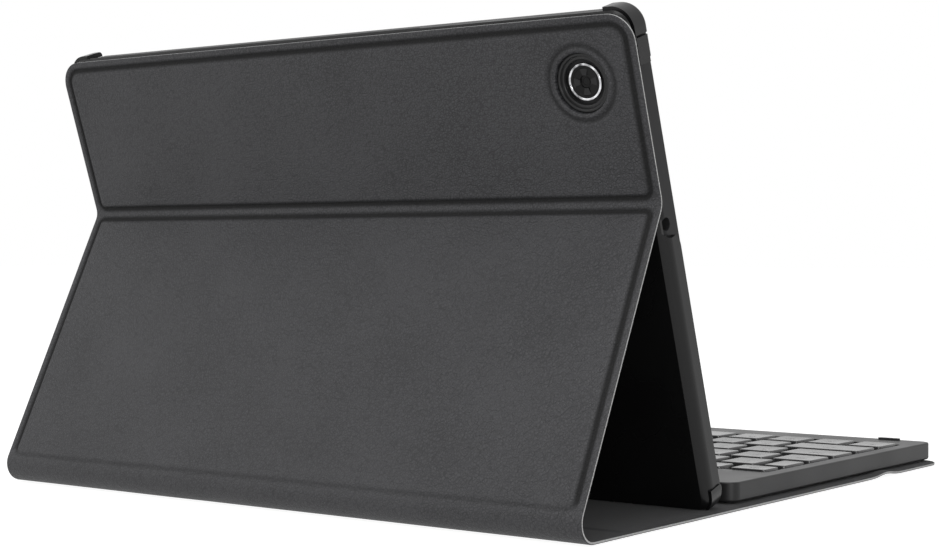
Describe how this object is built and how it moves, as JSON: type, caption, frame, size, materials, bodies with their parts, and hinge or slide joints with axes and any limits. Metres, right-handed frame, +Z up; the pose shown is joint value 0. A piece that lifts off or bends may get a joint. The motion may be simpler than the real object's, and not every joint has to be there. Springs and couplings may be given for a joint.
{
  "type": "tablet keyboard case",
  "caption": "Folding leather-look tablet case standing open: creased cover, hard corner-claw tray holding a slim tablet, and a detachable low-profile keyboard on the front cover.",
  "frame": {"origin": "on the underside of the front cover, straight below the crease of the back cover", "axes": "+X along the crease, +Y towards the rear of the stand, +Z up; the user sits at -Y"},
  "size_m": [0.25, 0.2585, 0.1586],
  "materials": {
    "leather": "matt fine-grained, near black",
    "lining": "matt suede lining, charcoal",
    "board": "dense grey stiffener",
    "tray": "satin black moulding",
    "tablet": "satin dark grey",
    "screen": "polished black, display off",
    "bright_ring": "polished",
    "lens": "polished black with a small lens at its centre",
    "kb_case": "fine matt texture",
    "keycap": null,
    "kb_inner": "matt black",
    "silicone": "matt",
    "membrane": "film",
    "circuit": "solder mask",
    "battery": "foil pouch",
    "magnet": "plated",
    "screw": "blackened",
    "socket": "stamped",
    "light": "clear light pipe, unlit",
    "bumper": "matt"
  },
  "bodies": {
    "spine": {"skin_spine": "leather", "lining_spine": "lining"},
    "front_cover": {"skin_front": "leather", "board_front": "board", "lining_front": "lining", "cover_magnets": "magnet"},
    "flap": {"skin_flap": "leather", "board_flap": "board", "lining_flap": "lining"},
    "tray": {"skin_upper": "leather", "board_upper": "board", "tray": "tray"},
    "tablet": {"tablet_shell": "tablet", "tablet_glass": "screen", "camera_ring": "bright_ring", "camera_lens": "lens"},
    "keyboard": {"kb_shell": "kb_case", "kb_frame": "kb_case", "kb_screws": "screw", "kb_charge_socket": "socket", "kb_lights": "light", "kb_bumpers": "bumper", "kb_feet": "bumper", "kb_magnets": "magnet", "kb_membrane": "membrane", "kb_key_plate": "kb_inner", "kb_dome_sheet": "silicone", "kb_circuit": "circuit", "kb_battery": "battery"},
    "power_slider": {"kb_power_slider": "kb_case"},
    "key_1": {"key_1": "keycap"},
    "key_2": {"key_2": "keycap"},
    "key_a": {"key_a": "keycap"},
    "key_alt": {"key_alt": "keycap"},
    "key_backquote": {"key_backquote": "keycap"},
    "key_backspace": {"key_backspace": "keycap"},
    "key_caps": {"key_caps": "keycap"},
    "key_ctrl": {"key_ctrl": "keycap"},
    "key_enter": {"key_enter": "keycap"},
    "key_escape": {"key_escape": "keycap"},
    "key_f1": {"key_f1": "keycap"},
    "key_fn": {"key_fn": "keycap"},
    "key_option": {"key_option": "keycap"},
    "key_q": {"key_q": "keycap"},
    "key_s": {"key_s": "keycap"},
    "key_shift": {"key_shift": "keycap"},
    "key_space": {"key_space": "keycap"},
    "key_tab": {"key_tab": "keycap"},
    "key_w": {"key_w": "keycap"},
    "key_x": {"key_x": "keycap"},
    "key_z": {"key_z": "keycap"},
    "keys_row_bottom": {"keys_row_bottom": "keycap"},
    "keys_row_digit": {"keys_row_digit": "keycap"},
    "keys_row_fn": {"keys_row_fn": "keycap"},
    "keys_row_home": {"keys_row_home": "keycap"},
    "keys_row_space": {"keys_row_space": "keycap"},
    "keys_row_top": {"keys_row_top": "keycap"}
  },
  "joints": [
    {"name": "stand_fold", "type": "hinge", "parent": "spine", "child": "flap", "pos_m": [0, 0.04376, 0.00257], "axis": [-1, 0, 0], "range_deg": [0, 116]},
    {"name": "crease_fold", "type": "hinge", "parent": "flap", "child": "tray", "pos_m": [0, 0, 0.09815], "axis": [1, 0, 0], "range_deg": [0, 44]},
    {"name": "cover_fold", "type": "hinge", "parent": "spine", "child": "front_cover", "pos_m": [0, 0.01967, -0.00015], "axis": [1, 0, 0], "range_deg": [0, 180]},
    {"name": "tablet_out", "type": "slide", "parent": "tray", "child": "tablet", "axis": [0, -0.9511, 0.309], "range_m": [0, 0.03]},
    {"name": "keyboard_off", "type": "slide", "parent": "front_cover", "child": "keyboard", "axis": [0, 0, 1], "range_m": [0, 0.04]},
    {"name": "power_slide", "type": "slide", "parent": "keyboard", "child": "power_slider", "axis": [0, -1, 0], "range_m": [0, 0.003]},
    {"name": "press_key_1", "type": "slide", "parent": "keyboard", "child": "key_1", "axis": [0, 0, -1], "range_m": [0, 0.0018], "stiffness_N_per_m": 300, "springref_m": -0.0006},
    {"name": "press_key_2", "type": "slide", "parent": "keyboard", "child": "key_2", "axis": [0, 0, -1], "range_m": [0, 0.0018], "stiffness_N_per_m": 300, "springref_m": -0.0006},
    {"name": "press_key_a", "type": "slide", "parent": "keyboard", "child": "key_a", "axis": [0, 0, -1], "range_m": [0, 0.0018], "stiffness_N_per_m": 300, "springref_m": -0.0006},
    {"name": "press_key_alt", "type": "slide", "parent": "keyboard", "child": "key_alt", "axis": [0, 0, -1], "range_m": [0, 0.0018], "stiffness_N_per_m": 300, "springref_m": -0.0006},
    {"name": "press_key_backquote", "type": "slide", "parent": "keyboard", "child": "key_backquote", "axis": [0, 0, -1], "range_m": [0, 0.0018], "stiffness_N_per_m": 300, "springref_m": -0.0006},
    {"name": "press_key_backspace", "type": "slide", "parent": "keyboard", "child": "key_backspace", "axis": [0, 0, -1], "range_m": [0, 0.0018], "stiffness_N_per_m": 300, "springref_m": -0.0006},
    {"name": "press_key_caps", "type": "slide", "parent": "keyboard", "child": "key_caps", "axis": [0, 0, -1], "range_m": [0, 0.0018], "stiffness_N_per_m": 300, "springref_m": -0.0006},
    {"name": "press_key_ctrl", "type": "slide", "parent": "keyboard", "child": "key_ctrl", "axis": [0, 0, -1], "range_m": [0, 0.0018], "stiffness_N_per_m": 300, "springref_m": -0.0006},
    {"name": "press_key_enter", "type": "slide", "parent": "keyboard", "child": "key_enter", "axis": [0, 0, -1], "range_m": [0, 0.0018], "stiffness_N_per_m": 300, "springref_m": -0.0006},
    {"name": "press_key_escape", "type": "slide", "parent": "keyboard", "child": "key_escape", "axis": [0, 0, -1], "range_m": [0, 0.0018], "stiffness_N_per_m": 300, "springref_m": -0.0006},
    {"name": "press_key_f1", "type": "slide", "parent": "keyboard", "child": "key_f1", "axis": [0, 0, -1], "range_m": [0, 0.0018], "stiffness_N_per_m": 300, "springref_m": -0.0006},
    {"name": "press_key_fn", "type": "slide", "parent": "keyboard", "child": "key_fn", "axis": [0, 0, -1], "range_m": [0, 0.0018], "stiffness_N_per_m": 300, "springref_m": -0.0006},
    {"name": "press_key_option", "type": "slide", "parent": "keyboard", "child": "key_option", "axis": [0, 0, -1], "range_m": [0, 0.0018], "stiffness_N_per_m": 300, "springref_m": -0.0006},
    {"name": "press_key_q", "type": "slide", "parent": "keyboard", "child": "key_q", "axis": [0, 0, -1], "range_m": [0, 0.0018], "stiffness_N_per_m": 300, "springref_m": -0.0006},
    {"name": "press_key_s", "type": "slide", "parent": "keyboard", "child": "key_s", "axis": [0, 0, -1], "range_m": [0, 0.0018], "stiffness_N_per_m": 300, "springref_m": -0.0006},
    {"name": "press_key_shift", "type": "slide", "parent": "keyboard", "child": "key_shift", "axis": [0, 0, -1], "range_m": [0, 0.0018], "stiffness_N_per_m": 300, "springref_m": -0.0006},
    {"name": "press_key_space", "type": "slide", "parent": "keyboard", "child": "key_space", "axis": [0, 0, -1], "range_m": [0, 0.0018], "stiffness_N_per_m": 300, "springref_m": -0.0006},
    {"name": "press_key_tab", "type": "slide", "parent": "keyboard", "child": "key_tab", "axis": [0, 0, -1], "range_m": [0, 0.0018], "stiffness_N_per_m": 300, "springref_m": -0.0006},
    {"name": "press_key_w", "type": "slide", "parent": "keyboard", "child": "key_w", "axis": [0, 0, -1], "range_m": [0, 0.0018], "stiffness_N_per_m": 300, "springref_m": -0.0006},
    {"name": "press_key_x", "type": "slide", "parent": "keyboard", "child": "key_x", "axis": [0, 0, -1], "range_m": [0, 0.0018], "stiffness_N_per_m": 300, "springref_m": -0.0006},
    {"name": "press_key_z", "type": "slide", "parent": "keyboard", "child": "key_z", "axis": [0, 0, -1], "range_m": [0, 0.0018], "stiffness_N_per_m": 300, "springref_m": -0.0006},
    {"name": "press_keys_row_bottom", "type": "slide", "parent": "keyboard", "child": "keys_row_bottom", "axis": [0, 0, -1], "range_m": [0, 0.0018], "stiffness_N_per_m": 900, "springref_m": -0.0006},
    {"name": "press_keys_row_digit", "type": "slide", "parent": "keyboard", "child": "keys_row_digit", "axis": [0, 0, -1], "range_m": [0, 0.0018], "stiffness_N_per_m": 900, "springref_m": -0.0006},
    {"name": "press_keys_row_fn", "type": "slide", "parent": "keyboard", "child": "keys_row_fn", "axis": [0, 0, -1], "range_m": [0, 0.0018], "stiffness_N_per_m": 900, "springref_m": -0.0006},
    {"name": "press_keys_row_home", "type": "slide", "parent": "keyboard", "child": "keys_row_home", "axis": [0, 0, -1], "range_m": [0, 0.0018], "stiffness_N_per_m": 900, "springref_m": -0.0006},
    {"name": "press_keys_row_space", "type": "slide", "parent": "keyboard", "child": "keys_row_space", "axis": [0, 0, -1], "range_m": [0, 0.0018], "stiffness_N_per_m": 900, "springref_m": -0.0006},
    {"name": "press_keys_row_top", "type": "slide", "parent": "keyboard", "child": "keys_row_top", "axis": [0, 0, -1], "range_m": [0, 0.0018], "stiffness_N_per_m": 900, "springref_m": -0.0006}
  ],
  "couplings": [
    {"joint": "crease_fold", "follows": "stand_fold", "ratio": 0.37931}
  ]
}
